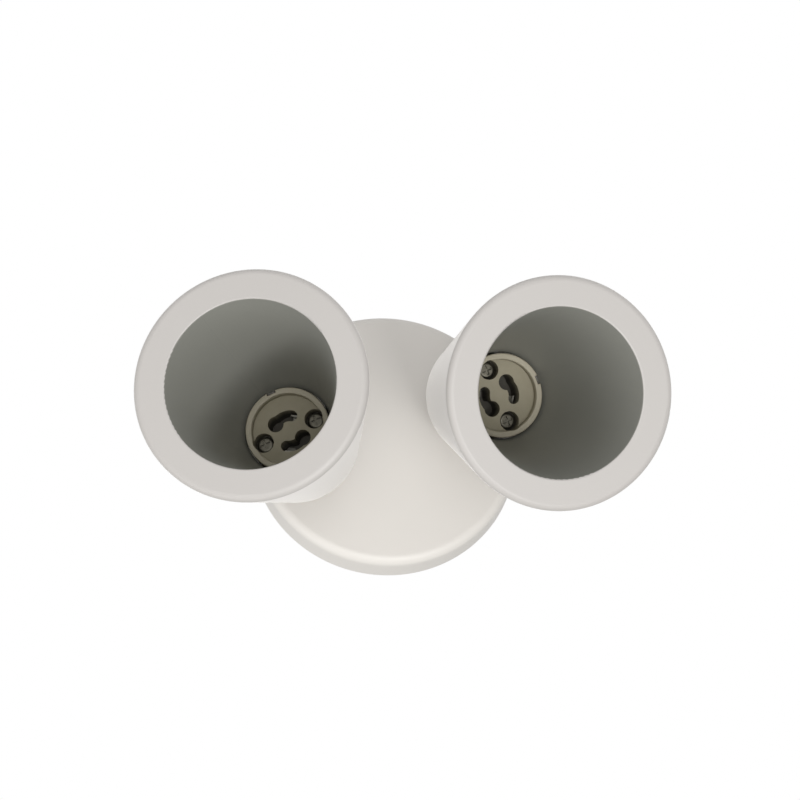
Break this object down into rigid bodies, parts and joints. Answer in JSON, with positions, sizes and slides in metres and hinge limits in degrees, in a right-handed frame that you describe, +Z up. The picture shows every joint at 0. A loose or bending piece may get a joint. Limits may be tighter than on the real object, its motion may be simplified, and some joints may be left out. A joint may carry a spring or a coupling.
{
  "type": "pivoting spotlight wall light",
  "caption": "Wall light with tapered cup shades on swivelling, tilting forks, standing on a shallow round canopy.",
  "frame": {"origin": "middle of the canopy's back face, on the wall plane", "axes": "+Y points into the wall and the light stands out towards -Y, +Z is up, X runs along the line through the two swivels"},
  "size_m": [0.1598, 0.1263, 0.1159],
  "materials": {
    "body_paint": "die casting with satin off-white powder coat",
    "canopy_paint": "pressed steel with satin off-white powder coat",
    "painted_screw": "screw with off-white head",
    "zinc_steel": "zinc plated",
    "brass": "bare",
    "contact_spring": "nickel plated spring strip",
    "terminal_plastic": "moulded",
    "nylon": "moulded",
    "fibre": "hard fibre",
    "holder_ceramic": "unglazed steatite, cream"
  },
  "bodies": {
    "base": {"wall_bracket": "zinc_steel", "canopy": "canopy_paint", "canopy_screws": "painted_screw", "terminal_block": "terminal_plastic", "terminal_sleeves": "brass", "terminal_screws": "zinc_steel", "terminal_fixings": "zinc_steel", "earth_screw": "brass", "earth_washer": "brass", "glide_washer_left": "nylon", "glide_washer_right": "nylon", "stop_pin_left": "zinc_steel", "stop_pin_right": "zinc_steel"},
    "swivel_left": {"fork_left": "body_paint", "stem_washer_left": "zinc_steel", "stem_nut_left": "zinc_steel", "tilt_screw_left": "painted_screw", "tilt_nut_left": "painted_screw", "tilt_washers_left": "fibre"},
    "head_left": {"knuckle_left": "body_paint", "shade_left": "body_paint", "head_nut_left": "zinc_steel", "holder_bracket_left": "zinc_steel", "holder_cover_left": "fibre", "lampholder_left": "holder_ceramic", "contacts_left": "contact_spring", "holder_screws_left": "zinc_steel"},
    "swivel_right": {"fork_right": "body_paint", "stem_washer_right": "zinc_steel", "stem_nut_right": "zinc_steel", "tilt_screw_right": "painted_screw", "tilt_nut_right": "painted_screw", "tilt_washers_right": "fibre"},
    "head_right": {"knuckle_right": "body_paint", "shade_right": "body_paint", "head_nut_right": "zinc_steel", "holder_bracket_right": "zinc_steel", "holder_cover_right": "fibre", "lampholder_right": "holder_ceramic", "contacts_right": "contact_spring", "holder_screws_right": "zinc_steel"}
  },
  "joints": [
    {"name": "swivel_left_turn", "type": "hinge", "parent": "base", "child": "swivel_left", "pos_m": [-0.03, -0.012, 0], "axis": [0, -1, 0], "range_deg": [-60, 35]},
    {"name": "tilt_left", "type": "hinge", "parent": "swivel_left", "child": "head_left", "pos_m": [-0.03, -0.0245, 0], "axis": [0.238, 0, -0.9713], "range_deg": [-3, 43]},
    {"name": "swivel_right_turn", "type": "hinge", "parent": "base", "child": "swivel_right", "pos_m": [0.03, -0.012, 0], "axis": [0, -1, 0], "range_deg": [-8, 178]},
    {"name": "tilt_right", "type": "hinge", "parent": "swivel_right", "child": "head_right", "pos_m": [0.03, -0.0245, 0], "axis": [0.9959, 0, 0.0906], "range_deg": [-21, 36]}
  ]
}
